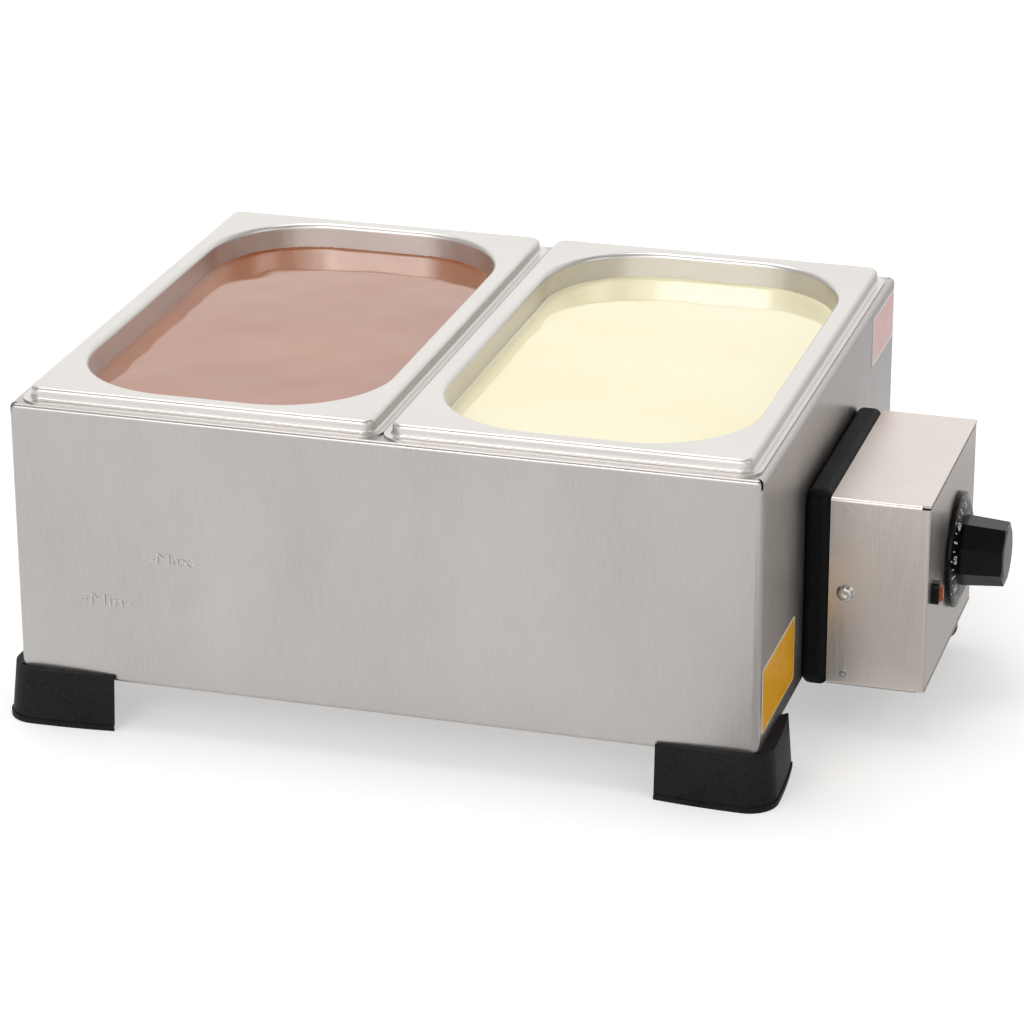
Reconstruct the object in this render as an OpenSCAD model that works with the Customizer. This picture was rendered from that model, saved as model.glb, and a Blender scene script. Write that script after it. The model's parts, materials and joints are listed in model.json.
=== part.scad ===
// Counter-top chocolate melting tank: a folded steel water bath on rubber corner boots, two
// lift-out pans hung on its rim, and a control box held off its right wall by a rubber pad.
// Millimetres, +Z up, the front faces -Y and the control box is on the +X side.
// The origin lies on the table, in the middle of the part's footprint.

/* [Pans] */
// Width of a pan over its lip
pan_w = 162; // [150:1:176]
// Length of a pan over its lip, front to back
pan_l = 265; // [230:1:330]
// Depth of a pan, from the top of its flange to the underside of its floor
pan_depth = 100; // [65:5:150]
// Sheet thickness of the pans
pan_t = 0.8; // [0.6:0.1:1]
// Gap between the lips of the two pans
pan_gap = 1; // [0.5:0.5:6]
// Flange width, from the lip's edge to the wall of the mouth
flange_w = 12.5; // [12:0.5:16]
// Corner radius of the lip
lip_r = 9; // [7:0.5:11]
// Width of the lip outside the flange's step
lip_reach = 3.6; // [3.4:0.1:4.4]
// Height of the flange's flat top above the rim
plateau_h = 6.2; // [5.4:0.2:9]
// Corner radius of the mouth
mouth_r = 48; // [36:1:55]
// Bend radius from the flange into the wall
mouth_bend = 2.5; // [2:0.1:3]
// Draft of the pan walls in degrees
pan_draft = 3.5; // [1:0.5:5]
// Radius between the walls and the floor of a pan
pan_floor_r = 14; // [8:1:18]
// Level of the chocolate below the flange's flat top
choc_drop = 12; // [8:1:60]

/* [Tank] */
// Rim that shows left and right of the pans' lips
rim_side = 3; // [1.5:0.5:8]
// Rim that shows in front of and behind the pans' lips
rim_front = 2.5; // [1.5:0.5:8]
// Height from the underside of the bath to the underside of the pans
under_pan_h = 31.2; // [29:0.2:45]
// Sheet thickness of the bath
sheet_t = 1; // [0.8:0.1:1.4]
// Outer bend radius of the rim and of the bottom edges
bend_r = 2; // [1.6:0.1:3]
// Outer radius of the upright corners
corner_r = 3; // [2.5:0.5:6]
// Width of the rim folded inwards
rim_w = 9; // [7:0.5:11]
// Width of the relief slit in each corner of the rim
relief_w = 1; // [0.6:0.1:1.6]
// Depth of the relief slits below the rim
relief_h = 4; // [3:0.5:6]

/* [Feet] */
// Height of the feet under the bath
foot_h = 22; // [16:1:40]
// Length of a foot along each wall
foot_leg = 44; // [36:1:60]
// Reach of a foot's base past the bath's left or right wall
foot_side_out = 7.8; // [6:0.2:10]
// Reach of a foot's base past the bath's front or back wall
foot_front_out = 6.2; // [5.6:0.2:9]
// Amount by which a foot's faces lean in from base to top
foot_lean = 1.8; // [0.8:0.1:2.4]
// Amount by which a foot's faces draw in towards their far ends
foot_bow = 2.4; // [1:0.1:3]
// Radius of the foot's outer corner
foot_corner_r = 13; // [8:1:18]
// Height of the lip that wraps the bath's bottom edge
foot_lip = 3; // [2:0.5:6]
// Thickness of the foot's base rim
foot_base_t = 2.4; // [1.5:0.1:4]
// Step in from the foot's base rim to its faces
foot_base_in = 0.6; // [0.3:0.1:1]

/* [Heater] */
// Diameter of the heating tube
heater_d = 8.5; // [6:0.5:10]
// Radius of the heater's loop, half the spacing of its legs
heater_loop_r = 22; // [20:1:26]
// Height of the heater's axis above the underside of the bath
heater_up = 16; // [14:0.5:18]
// Gap between the heater's loop and the left wall
heater_end_gap = 30; // [15:1:80]
// Thread diameter of the wall fittings
bush_d = 14; // [12:0.5:15]
// Width across flats of the wall fittings and their nuts
bush_flats = 19; // [18:0.5:21]

/* [Thermostat] */
// Diameter of the sensing bulb
bulb_d = 6; // [4:0.5:7]
// Length of the sensing bulb
bulb_l = 90; // [50:5:160]
// Height of the sensing bulb above the underside of the bath
bulb_up = 24; // [22:0.5:26]
// Size of the thermostat body into the box, front to back and upright
thermostat_size = [28, 36, 40];
// Diameter of the thermostat spindle
spindle_d = 6; // [5:0.5:7]
// Spacing of the two thermostat screws
thermostat_pitch = 28; // [26:0.5:30]

/* [Knob] */
// Distance of the dial's axis behind the front of the box
dial_back = 66; // [50:1:75]
// Height of the dial's axis above the underside of the box
dial_up = 42; // [36:1:50]
// Diameter of the dial skirt
dial_d = 52; // [46:1:58]
// Diameter of the dial skirt's flat face
dial_face_d = 37; // [35:1:40]
// Thickness of the dial skirt
dial_t = 4.2; // [4:0.2:6]
// Thickness of the dial skirt's edge
dial_edge_t = 1.6; // [1.2:0.1:2]
// Running gap between the dial skirt and the box
dial_gap = 0.8; // [0.5:0.1:2]
// Width across flats of the grip where it meets the dial
grip_base_w = 29; // [27:0.5:33]
// Width across flats of the grip at its end
grip_end_w = 26.5; // [25:0.5:29]
// Length of the grip
grip_l = 18; // [14:0.5:26]
// Diameter of the cap let into the end of the grip
cap_d = 23; // [18:0.5:24]
// Height of the cap above the end of the grip
cap_proud = 0.6; // [0.4:0.1:1.5]

/* [Control box] */
// Length of the box away from the bath
box_l = 43; // [40:1:60]
// Length of the box, front to back
box_d = 110; // [104:1:130]
// Height of the box
box_h = 87; // [80:1:100]
// Sheet thickness of the box
box_t = 1; // [0.8:0.1:1.4]
// Outer bend radius of the box
box_bend_r = 1.6; // [1.5:0.1:2.4]
// Distance of the box behind the front of the bath
box_front = 82; // [72:1:90]
// Height of the box above the underside of the bath
box_lift = 1; // [0.5:0.5:10]
// Thickness of the spacer pad
pad_t = 11; // [9:0.5:16]
// Reach of the spacer pad past the box
pad_proud = 2; // [1:0.5:4]
// Corner radius of the spacer pad
pad_corner_r = 7; // [5:0.5:12]
// Edge radius of the spacer pad
pad_edge_r = 3.5; // [2:0.5:4]
// Sheet thickness of the mounting bracket
bracket_t = 1.2; // [1:0.1:2]
// Length of the bracket's two flanges
flange_l = 14; // [12:1:18]
// Distance of the side fasteners from the box's open edge
fastener_in = 7.5; // [6:0.5:9]
// Distance of the rivets from the box's top and bottom
rivet_edge = 5.5; // [5:0.5:9]
// Shank diameter of the rivets
rivet_d = 2.4; // [2:0.1:3]
// Thread diameter of the box screws and the thermostat screws
screw_d = 4; // [3:0.5:4.5]
// Thread diameter of the bracket studs
stud_d = 4; // [3:0.5:5]
// Distance of the bracket studs from the box's edges
stud_edge = 12; // [11:0.5:14]

/* [Lamp and gland] */
// Distance of the pilot lamp's middle behind the front of the box
lamp_back = 13; // [11:0.5:18]
// Height of the pilot lamp's middle above the underside of the box
lamp_up = 43; // [30:0.5:60]
// Size of the lamp's bezel, front to back and upright
lamp_size = [6.8, 9.8];
// Height of the bezel above the box
lamp_proud = 3.2; // [2:0.1:4]
// Height of the domed lens above its bezel
lens_proud = 1.5; // [1:0.1:2.5]
// Wall of the bezel round the lens
lamp_wall = 1; // [0.8:0.1:1.2]
// Size of the lamp's snout through the box, front to back and upright
snout_size = [4.8, 7.4];
// Thread diameter of the cable gland
gland_d = 16; // [12:0.5:17]
// Width across flats of the cable gland
gland_flats = 22; // [20:0.5:24]
// Thickness of the cable gland's hexagon
gland_hex_t = 5; // [4:0.5:6]
// Height of the cable gland's domed nut
gland_dome_t = 8; // [6:0.5:9]
// Bore of the cable gland for a mains lead
gland_bore = 7.5; // [6:0.5:9]
// Distance of the gland's axis in front of the back of the box
gland_from_back = 15; // [14:1:26]
// Distance of the gland's axis from the end of the box
gland_from_end = 13.5; // [13:0.5:18]
// Thickness of the stickers
label_t = 0.2; // [0.1:0.05:0.4]

/* [Hidden] */
$fn = 64;

// Clearances: a loose hole round a shank, a snug bore, and liquid or rubber against a wall
hole_play = 0.3;
bore_play = 0.1;
skin_play = 0.1;
// Length by which a cut passes a face
cut_over = 1;

// The bath, from the pans that hang in it
tank_size = [2 * pan_w + pan_gap + 2 * rim_side, pan_l + 2 * rim_front];
tank_h = under_pan_h + pan_depth - plateau_h;
tank_axes = [tank_size.x - 2 * corner_r, tank_size.y - 2 * corner_r];
knob_reach = dial_gap + dial_t + grip_l + cap_proud;
overall_l = foot_side_out + tank_size.x + pad_t + box_l + knob_reach;
tank_x0 = -overall_l / 2 + foot_side_out;
tank_x1 = tank_x0 + tank_size.x;
tank_x = (tank_x0 + tank_x1) / 2;
tank_y0 = -tank_size.y / 2;
tank_z = foot_h;
rim_z = tank_z + tank_h;
pan_x = (pan_w + pan_gap) / 2;

// The section of a pan: radii are measured from the corner axes, heights from the rim
lip_axes = [pan_w - 2 * lip_r, pan_l - 2 * lip_r];
mouth = [pan_w - 2 * flange_w, pan_l - 2 * flange_w];
mouth_axes = [mouth.x - 2 * mouth_r, mouth.y - 2 * mouth_r];
step_r = lip_r - lip_reach;
step_foot_r = 1.2;
step_top_r = 2;
bend_z = plateau_h - mouth_bend;
pan_floor_z = plateau_h - pan_depth + pan_t;
pan_arc_z = pan_floor_z + pan_floor_r;
pan_arc_x = wall_at(pan_arc_z - pan_floor_r * sin(pan_draft)) - pan_floor_r * cos(pan_draft);
choc_z = plateau_h - choc_drop;

// The control box
box_x0 = tank_x1 + pad_t;
box_x1 = box_x0 + box_l;
box_y0 = tank_y0 + box_front;
box_y1 = box_y0 + box_d;
box_y = (box_y0 + box_y1) / 2;
box_z0 = tank_z + box_lift;
box_z1 = box_z0 + box_h;
box_z = (box_z0 + box_z1) / 2;
box_in = box_x1 - box_t;
dial_y = box_y0 + dial_back;
dial_z = box_z0 + dial_up;
lamp_y = box_y0 + lamp_back;
lamp_z = box_z0 + lamp_up;
lamp_corner_r = 1.8;
lens_x = box_x1 + 0.8;
lens_size = [lamp_size.x - 2 * lamp_wall - bore_play, lamp_size.y - 2 * lamp_wall - bore_play];
snout_x = box_in - 5;
gland_x = box_x1 - gland_from_end;
gland_y = box_y1 - gland_from_back;
fastener_x = box_x0 + fastener_in;
rivet_heights = [box_z0 + rivet_edge, box_z1 - rivet_edge];
stud_ys = [box_y0 + stud_edge, box_y1 - stud_edge];
stud_zs = [box_z0 + stud_edge, box_z1 - stud_edge];
bracket_gap = 0.1;
fold_tail = 2;
bracket_x1 = box_x0 + bracket_t;

// The window through the pad and the bracket for the wall fittings
window_size = [2 * (heater_loop_r + bush_flats / 2 + 3), 34];
window_r = 5;
window_z = tank_z + (heater_up + bulb_up) / 2 + 1.5;

// Heater, bulb and their wall fittings
heater_z = tank_z + heater_up;
heater_bend_x = tank_x0 + sheet_t + heater_end_gap + heater_loop_r + heater_d / 2;
bush_head_t = 5;
gasket_t = 2;
bush_nut_t = 5;
bush_x1 = tank_x1 + bush_nut_t + 3;
insulator_l = 4;
pin_d = 4;
pin_l = 9;
pin_x1 = bush_x1 + insulator_l + pin_l;
bulb_z = tank_z + bulb_up;
bulb_gland_d = 8;
bulb_gland_flats = 12;
bulb_head_t = 4;
bulb_nut_t = 4;
bulb_wall_gap = 8;
bulb_x1 = tank_x1 - sheet_t - bulb_head_t - bulb_wall_gap;
capillary_d = 1.6;
stand_t = 1.2;
stand_l = 8;

// Thermostat and knob
thermostat_x0 = box_in - thermostat_size.x;
blade_size = [6, 0.8, 6.3];
blade_out = 8;
blade_x = thermostat_x0 + 4;
blade_z = dial_z + thermostat_size.z / 2;
spindle_in = 8;
spindle_grip = 12;
dial_x = box_x1 + dial_gap;
grip_x = dial_x + dial_t;
cap_in = 1.5;
screw_head_d = 7;
screw_head_h = 2;

// Terminal block
block_size = [16, 24, 18];
block_at = [bracket_x1, box_y0 + 18, box_z1 - 12 - block_size.z];
block_hole_l = 6;
block_screw_d = 3;

// Stickers on the right wall: distance behind the front, height, length and width
yellow_place = [5.2, 9.5, 60, 29.5];
red_place = [219, 98, 47, 23];

// Length of the gland's thread inside the box, and the round of its domed nut
gland_in = 7;
gland_dome_r = 4;

wire_d = 2.2;
wire_gap = 2.4;
wire_sides = 8;
// Play between the end of a wire or a tube and what it ends on
end_gap = 0.1;

// Points along an arc
function arc(centre, r, from, to, steps = 8) =
    [for (i = [0:steps]) let (a = from + (to - from) * i / steps) centre + r * [cos(a), sin(a)]];
// Inner radius of a pan wall at a height
function wall_at(z) = mouth_r - (bend_z - z) * tan(pan_draft);
// A point on a smooth curve through four points, between the second and the third
function spline(p, t) = 0.5 * (2 * p[1] + (p[2] - p[0]) * t
    + (2 * p[0] - 5 * p[1] + 4 * p[2] - p[3]) * t * t
    + (3 * p[1] - p[0] - 3 * p[2] + p[3]) * t * t * t);
// A route's points with a smooth curve run through them
function smooth_route(pts, steps = 4) = let (n = len(pts) - 1)
    [for (i = [0:n - 1], k = [0:steps - 1])
        spline([pts[max(i - 1, 0)], pts[i], pts[i + 1], pts[min(i + 2, n)]], k / steps), pts[n]];
function unit(v) = v / norm(v);
// Direction of a route at one of its points
function heading(pts, i) = unit(pts[min(i + 1, len(pts) - 1)] - pts[max(i - 1, 0)]);
// A direction square to another
function square_to(d) = unit(cross(d, abs(d.z) < 0.8 ? [0, 0, 1] : [0, 1, 0]));
// Side directions carried along a route without twisting
function carried(pts, i) = i == 0 ? square_to(heading(pts, 0))
    : let (d = heading(pts, i), s = carried(pts, i - 1)) unit(s - d * (s * d));

// A round tube along a route
module tube(route, d, sides = wire_sides) {
    pts = smooth_route(route);
    last = len(pts) - 1;
    rings = [for (i = [0:last]) let (n = heading(pts, i), s = carried(pts, i), u = cross(n, s))
        for (k = [0:sides - 1]) pts[i] + d / 2 * (cos(360 * k / sides) * s + sin(360 * k / sides) * u)];
    walls = [for (i = [0:last - 1], k = [0:sides - 1])
        let (a = i * sides + k, b = i * sides + (k + 1) % sides)
        each [[a, a + sides, b], [b, a + sides, b + sides]]];
    caps = [for (k = [1:sides - 2]) each [[0, k, k + 1],
        [last * sides, last * sides + k + 1, last * sides + k]]];
    polyhedron(rings, concat(walls, caps));
}

// Sweeps a section round a rectangle of corner axes, the section drawn out from the axes
module sweep_round(span) {
    for (i = [0:3]) {
        along = i % 2 == 0 ? span.y : span.x;
        out = i % 2 == 0 ? span.x : span.y;
        rotate([0, 0, 90 * i]) translate([out / 2, along / 2, 0]) {
            rotate([90, 0, 0]) linear_extrude(along) children();
            rotate_extrude(angle = 90) children();
        }
    }
}

// A rectangle with round corners
module round_rect(size, r) {
    square([size.x - 2 * r, size.y], center = true);
    square([size.x, size.y - 2 * r], center = true);
    for (x = [-1, 1], y = [-1, 1])
        translate([x * (size.x / 2 - r), y * (size.y / 2 - r)]) circle(r);
}

// Half of a slot: a strip out from the axis with its two outer corners rounded
module half_slot(reach, height, r) {
    polygon(concat([[0, 0]], arc([reach - r, r], r, -90, 0),
        arc([reach - r, height - r], r, 0, 90), [[0, height]]));
}

// Lays a shape drawn upright along +X
module along_x(at) {
    translate(at) rotate([0, 90, 0]) children();
}

// Draws a shape in the plane of the right wall: across is towards the back, up is up
module on_right(at) {
    translate(at) rotate([90, 0, 90]) children();
}

// A hexagon by its width across flats
module hexagon(flats) {
    circle(d = flats / cos(30), $fn = 6);
}

// A hexagon nut along +X with its bore
module nut_x(at, flats, bore, t) {
    along_x(at) linear_extrude(t) difference() {
        hexagon(flats);
        circle(d = bore);
    }
}

// The bath

module tank_section() {
    difference() {
        half_slot(corner_r, tank_h, bend_r);
        translate([0, sheet_t])
            half_slot(corner_r - sheet_t, tank_h - 2 * sheet_t, bend_r - sheet_t);
    }
}

module tank_shell() {
    color("silver") difference() {
        translate([tank_x, 0, tank_z]) union() {
            sweep_round(tank_axes) tank_section();
            linear_extrude(sheet_t) square(tank_axes, center = true);
            translate([0, 0, tank_h - sheet_t]) linear_extrude(sheet_t) difference() {
                square(tank_axes, center = true);
                square([tank_size.x - 2 * rim_w, tank_size.y - 2 * rim_w], center = true);
            }
        }
        for (s = [-1, 1])
            along_x([tank_x1 - sheet_t - cut_over, box_y + s * heater_loop_r, heater_z])
                cylinder(d = bush_d + hole_play, h = sheet_t + 2 * cut_over);
        along_x([tank_x1 - sheet_t - cut_over, box_y, bulb_z])
            cylinder(d = bulb_gland_d + hole_play, h = sheet_t + 2 * cut_over);
        for (x = [-1, 1], y = [-1, 1])
            translate([tank_x + x * tank_axes.x / 2, y * tank_axes.y / 2, rim_z - relief_h])
                rotate([0, 0, atan2(y, x)]) translate([0, -relief_w / 2, 0])
                    cube([corner_r + cut_over, relief_w, relief_h + cut_over]);
    }
}

// A foot's outline round a corner of the bath, which fills the third quadrant
module foot_plan(lean) {
    out = [foot_side_out - lean, foot_front_out - lean];
    corner = [out.x - foot_corner_r, out.y - foot_corner_r];
    draw_in = [for (i = [0:7]) foot_bow * pow(1 - i / 8, 2)];
    side = [for (i = [0:7]) [out.x - draw_in[i], -foot_leg + i / 8 * (foot_leg + corner.y)]];
    front = [for (i = [7:-1:0]) [-foot_leg + i / 8 * (foot_leg + corner.x), out.y - draw_in[i]]];
    polygon(concat(side, arc(corner, foot_corner_r, 0, 90, 12), front));
}

module foot(x, y) {
    slice = 0.01;
    color([0.13, 0.13, 0.14]) translate([x < 0 ? tank_x0 : tank_x1, y * tank_size.y / 2, 0])
        mirror([x < 0 ? 1 : 0, 0, 0]) mirror([0, y < 0 ? 1 : 0, 0]) difference() {
            union() {
                linear_extrude(foot_base_t) foot_plan(0);
                hull() {
                    translate([0, 0, foot_base_t - slice])
                        linear_extrude(slice) foot_plan(foot_base_in);
                    translate([0, 0, foot_h + foot_lip - slice])
                        linear_extrude(slice) foot_plan(foot_base_in + foot_lean);
                }
            }
            translate([-2 * foot_leg, -2 * foot_leg, foot_h])
                cube([2 * foot_leg + skin_play, 2 * foot_leg + skin_play, foot_lip + cut_over]);
        }
}

module front_left_foot() { foot(-1, -1); }
module front_right_foot() { foot(1, -1); }
module rear_left_foot() { foot(-1, 1); }
module rear_right_foot() { foot(1, 1); }

// A sticker on the right wall, with round corners
module sticker(place) {
    on_right([tank_x1, tank_y0 + place[0] + place[2] / 2, tank_z + place[1] + place[3] / 2])
        linear_extrude(label_t) round_rect([place[2], place[3]], 1.5);
}

module yellow_label() { color("goldenrod") sticker(yellow_place); }
module red_label() { color([0.86, 0.66, 0.64]) sticker(red_place); }

// The pans

module lip_section() {
    foot_c = [step_r + step_foot_r, pan_t + step_foot_r];
    top_c = [step_r - step_top_r, plateau_h - step_top_r];
    polygon(concat([[lip_r, 0], [lip_r, pan_t]], arc(foot_c, step_foot_r, -90, -180),
        arc(top_c, step_top_r, 0, 90), [[0, plateau_h], [0, plateau_h - pan_t]],
        arc(top_c, step_top_r - pan_t, 90, 0), arc(foot_c, step_foot_r + pan_t, -180, -90)));
}

module bowl_section() {
    bend_c = [mouth_r + mouth_bend, bend_z];
    arc_c = [pan_arc_x, pan_arc_z];
    polygon(concat(arc(bend_c, mouth_bend, 90, 180), arc(arc_c, pan_floor_r, -pan_draft, -90),
        [[0, pan_floor_z], [0, pan_floor_z - pan_t]],
        arc(arc_c, pan_floor_r + pan_t, -90, -pan_draft), arc(bend_c, mouth_bend - pan_t, 180, 90)));
}

module pan(side) {
    color("lightgray") translate([tank_x + side * pan_x, 0, rim_z]) union() {
        difference() {
            union() {
                sweep_round(lip_axes) lip_section();
                translate([0, 0, plateau_h - pan_t]) linear_extrude(pan_t) square(lip_axes, center = true);
            }
            translate([0, 0, -cut_over]) linear_extrude(plateau_h + 2 * cut_over)
                round_rect([mouth.x + 2 * mouth_bend, mouth.y + 2 * mouth_bend], mouth_r + mouth_bend);
        }
        sweep_round(mouth_axes) bowl_section();
        translate([0, 0, pan_floor_z - pan_t]) linear_extrude(pan_t) square(mouth_axes, center = true);
    }
}

module left_pan() { pan(-1); }
module right_pan() { pan(1); }

module chocolate_section() {
    polygon(concat([[0, pan_floor_z + skin_play]],
        arc([pan_arc_x, pan_arc_z], pan_floor_r - skin_play, -90, -pan_draft),
        [[wall_at(choc_z) - skin_play, choc_z], [0, choc_z]]));
}

module chocolate(side) {
    translate([tank_x + side * pan_x, 0, rim_z]) union() {
        sweep_round(mouth_axes) chocolate_section();
        translate([0, 0, pan_floor_z + skin_play])
            linear_extrude(choc_z - pan_floor_z - skin_play) square(mouth_axes, center = true);
    }
}

module milk_chocolate() { color([0.62, 0.4, 0.28]) chocolate(-1); }
module white_chocolate() { color([1, 0.97, 0.83]) chocolate(1); }

// Heater and its wall fittings

module heating_element() {
    color("dimgray") translate([0, box_y, heater_z]) {
        for (s = [-1, 1])
            along_x([heater_bend_x, s * heater_loop_r, 0])
                cylinder(d = heater_d, h = bush_x1 - heater_bend_x);
        translate([heater_bend_x, 0, 0]) rotate([0, 0, 90])
            rotate_extrude(angle = 180) translate([heater_loop_r, 0]) circle(d = heater_d);
    }
}

// Repeats a shape at the two legs of the heater
module at_legs() {
    for (s = [-1, 1]) translate([0, box_y + s * heater_loop_r, heater_z]) children();
}

module heater_bushes() {
    head_x = tank_x1 - sheet_t - gasket_t;
    color("darkgoldenrod") at_legs() difference() {
        union() {
            along_x([head_x - bush_head_t, 0, 0]) linear_extrude(bush_head_t) hexagon(bush_flats);
            along_x([head_x, 0, 0]) cylinder(d = bush_d, h = bush_x1 - head_x);
        }
        along_x([head_x - bush_head_t - cut_over, 0, 0])
            cylinder(d = heater_d + bore_play, h = bush_x1 - head_x + bush_head_t + 2 * cut_over);
    }
}

module heater_gaskets() {
    color("firebrick") at_legs() along_x([tank_x1 - sheet_t - gasket_t, 0, 0]) linear_extrude(gasket_t)
        difference() {
            circle(d = bush_flats);
            circle(d = bush_d + bore_play);
        }
}

module heater_nuts() {
    color("goldenrod") at_legs() nut_x([tank_x1, 0, 0], bush_flats, bush_d + bore_play, bush_nut_t);
}

module heater_terminals() {
    color("whitesmoke") at_legs() along_x([bush_x1, 0, 0]) {
        cylinder(d = heater_d, h = insulator_l);
        cylinder(d = pin_d, h = insulator_l + pin_l);
    }
}

// A strip stand: rings round what it holds, legs and a strip on the floor of the bath
module stand(x, d, axis_z, places) {
    ring_d = d + 2 * stand_t + bore_play;
    floor_z = tank_z + sheet_t;
    on_right([x, box_y, 0]) linear_extrude(stand_l) difference() {
        union() {
            for (y = places) {
                translate([y, axis_z]) circle(d = ring_d);
                translate([y - stand_t / 2, floor_z]) square([stand_t, axis_z - floor_z]);
            }
            translate([min(places) - ring_d / 2, floor_z])
                square([max(places) - min(places) + ring_d, stand_t]);
        }
        for (y = places) translate([y, axis_z]) circle(d = d + bore_play);
    }
}

module heater_stand() {
    color("gray") stand(heater_bend_x, heater_d, heater_z, [-heater_loop_r, heater_loop_r]);
}

module sensing_bulb() {
    color("peru") along_x([bulb_x1 - bulb_l + bulb_d / 2, box_y, bulb_z]) {
        sphere(d = bulb_d);
        cylinder(d = bulb_d, h = bulb_l - bulb_d / 2);
    }
}

module bulb_stand() {
    color("gray") stand(bulb_x1 - bulb_l / 2, bulb_d, bulb_z, [0]);
}

module bulb_gland() {
    bore = capillary_d + 2 * hole_play;
    head_x = tank_x1 - sheet_t - bulb_head_t;
    color("goldenrod") translate([0, box_y, bulb_z]) difference() {
        union() {
            along_x([head_x, 0, 0]) linear_extrude(bulb_head_t) hexagon(bulb_gland_flats);
            along_x([head_x + bulb_head_t, 0, 0]) cylinder(d = bulb_gland_d, h = sheet_t + bulb_nut_t + 2);
        }
        along_x([head_x - cut_over, 0, 0])
            cylinder(d = bore, h = bulb_head_t + sheet_t + bulb_nut_t + 2 + 2 * cut_over);
    }
}

module bulb_gland_nut() {
    color("goldenrod")
        nut_x([tank_x1, box_y, bulb_z], bulb_gland_flats, bulb_gland_d + bore_play, bulb_nut_t);
}

module capillary_tube() {
    end = [thermostat_x0 - end_gap, dial_y, dial_z - thermostat_size.z / 4];
    start = [bulb_x1, box_y, bulb_z];
    wall = [tank_x1, box_y, bulb_z];
    color("peru") tube([start, wall - [bulb_wall_gap, 0, 0], wall + [bulb_wall_gap, 0, 0],
        wall + [bulb_wall_gap + 3 * capillary_d, 0, capillary_d / 2],
        [end.x - 4 * capillary_d, (start.y + end.y) / 2, (start.z + end.z) / 2],
        end - [2 * capillary_d, 0, 0], end - [capillary_d, 0, 0], end], capillary_d);
}

// The pad, the bracket and the box

module window() {
    translate([0, window_z - box_z]) round_rect(window_size, window_r);
}

module spacer_pad() {
    size = [box_d + 2 * pad_proud, box_h + 2 * pad_proud];
    axes = [size.x - 2 * pad_corner_r, size.y - 2 * pad_corner_r];
    color([0.09, 0.09, 0.1]) difference() {
        on_right([tank_x1, box_y, box_z]) union() {
            sweep_round(axes) half_slot(pad_corner_r, pad_t, pad_edge_r);
            linear_extrude(pad_t) square(axes, center = true);
        }
        on_right([tank_x1 - cut_over, box_y, box_z]) linear_extrude(pad_t + 2 * cut_over) window();
        at_studs() along_x([tank_x1 - cut_over, 0, 0])
            cylinder(d = stud_d + hole_play, h = pad_t + 2 * cut_over);
    }
}

// Repeats a shape at the four bracket studs
module at_studs() {
    for (y = stud_ys, z = stud_zs) translate([0, y, z]) children();
}

module bracket_studs() {
    color("silver") at_studs() along_x([tank_x1, 0, 0]) cylinder(d = stud_d, h = pad_t + bracket_t + 6);
}

module bracket_nuts() {
    color("gainsboro") at_studs() nut_x([bracket_x1, 0, 0], 1.75 * stud_d, stud_d + bore_play, 0.8 * stud_d);
}

module mounting_bracket() {
    reach = box_d / 2 - box_t - bracket_gap;
    span = [box_d - 2 * (box_t + bracket_gap), box_h - 2 * box_bend_r];
    color("darkgray") difference() {
        union() {
            on_right([box_x0, box_y, box_z]) linear_extrude(bracket_t) difference() {
                square(span, center = true);
                window();
            }
            for (s = [-1, 1])
                translate([box_x0, box_y + s * (reach - bracket_t / 2) - bracket_t / 2, box_z - span.y / 2])
                    cube([flange_l, bracket_t, span.y]);
        }
        at_studs() along_x([box_x0 - cut_over, 0, 0])
            cylinder(d = stud_d + hole_play, h = bracket_t + 2 * cut_over);
        side_holes();
    }
}

// Holes for the fasteners on the front and back of the box
module side_holes() {
    depth = box_t + bracket_gap + bracket_t + cut_over;
    for (s = [-1, 1]) translate([fastener_x, box_y + s * box_d / 2, 0]) rotate([s * 90, 0, 0]) {
        for (z = rivet_heights) translate([0, s * z, -cut_over])
            cylinder(d = rivet_d + bore_play, h = depth + cut_over);
        translate([0, s * box_z, -cut_over]) cylinder(d = screw_d + hole_play, h = depth + cut_over);
    }
}

module box_rivets() {
    inside = box_t + bracket_gap + bracket_t;
    color("silver") for (s = [-1, 1], z = rivet_heights)
        translate([fastener_x, box_y + s * box_d / 2, z]) rotate([s * 90, 0, 0]) difference() {
            union() {
                translate([0, 0, -0.5]) cylinder(d = 1.5 * rivet_d, h = 0.5);
                translate([0, 0, -0.5]) cylinder(d = rivet_d, h = inside + 0.5);
                translate([0, 0, inside]) cylinder(d = 1.5 * rivet_d, h = 1);
            }
            translate([0, 0, -0.5 - cut_over]) cylinder(d = 0.45 * rivet_d, h = 1 + cut_over);
        }
}

module box_screws() {
    head_d = 2 * screw_d;
    head_h = 0.55 * screw_d;
    socket_d = 0.625 * screw_d;
    shank_l = box_t + bracket_gap + bracket_t + screw_d;
    color("gainsboro") for (s = [-1, 1])
        translate([fastener_x, box_y + s * box_d / 2, box_z]) rotate([s * 90, 0, 0]) difference() {
            union() {
                rotate([180, 0, 0]) rotate_extrude() polygon(concat([[0, 0], [head_d / 2, 0]],
                    arc([head_d / 2 - head_h, head_h * 0.25], head_h * 0.75 , 0, 90), [[0, head_h]]));
                cylinder(d = screw_d, h = shank_l);
            }
            translate([0, 0, -head_h - cut_over]) linear_extrude(0.7 * head_h + cut_over) hexagon(socket_d);
        }
}

module box_screw_nuts() {
    inside = box_t + bracket_gap + bracket_t;
    color("gainsboro") for (s = [-1, 1])
        translate([fastener_x, box_y + s * box_d / 2, box_z]) rotate([s * 90, 0, 0])
            translate([0, 0, inside]) linear_extrude(0.8 * screw_d) difference() {
                hexagon(1.75 * screw_d);
                circle(d = screw_d + bore_play);
            }
}

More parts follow.
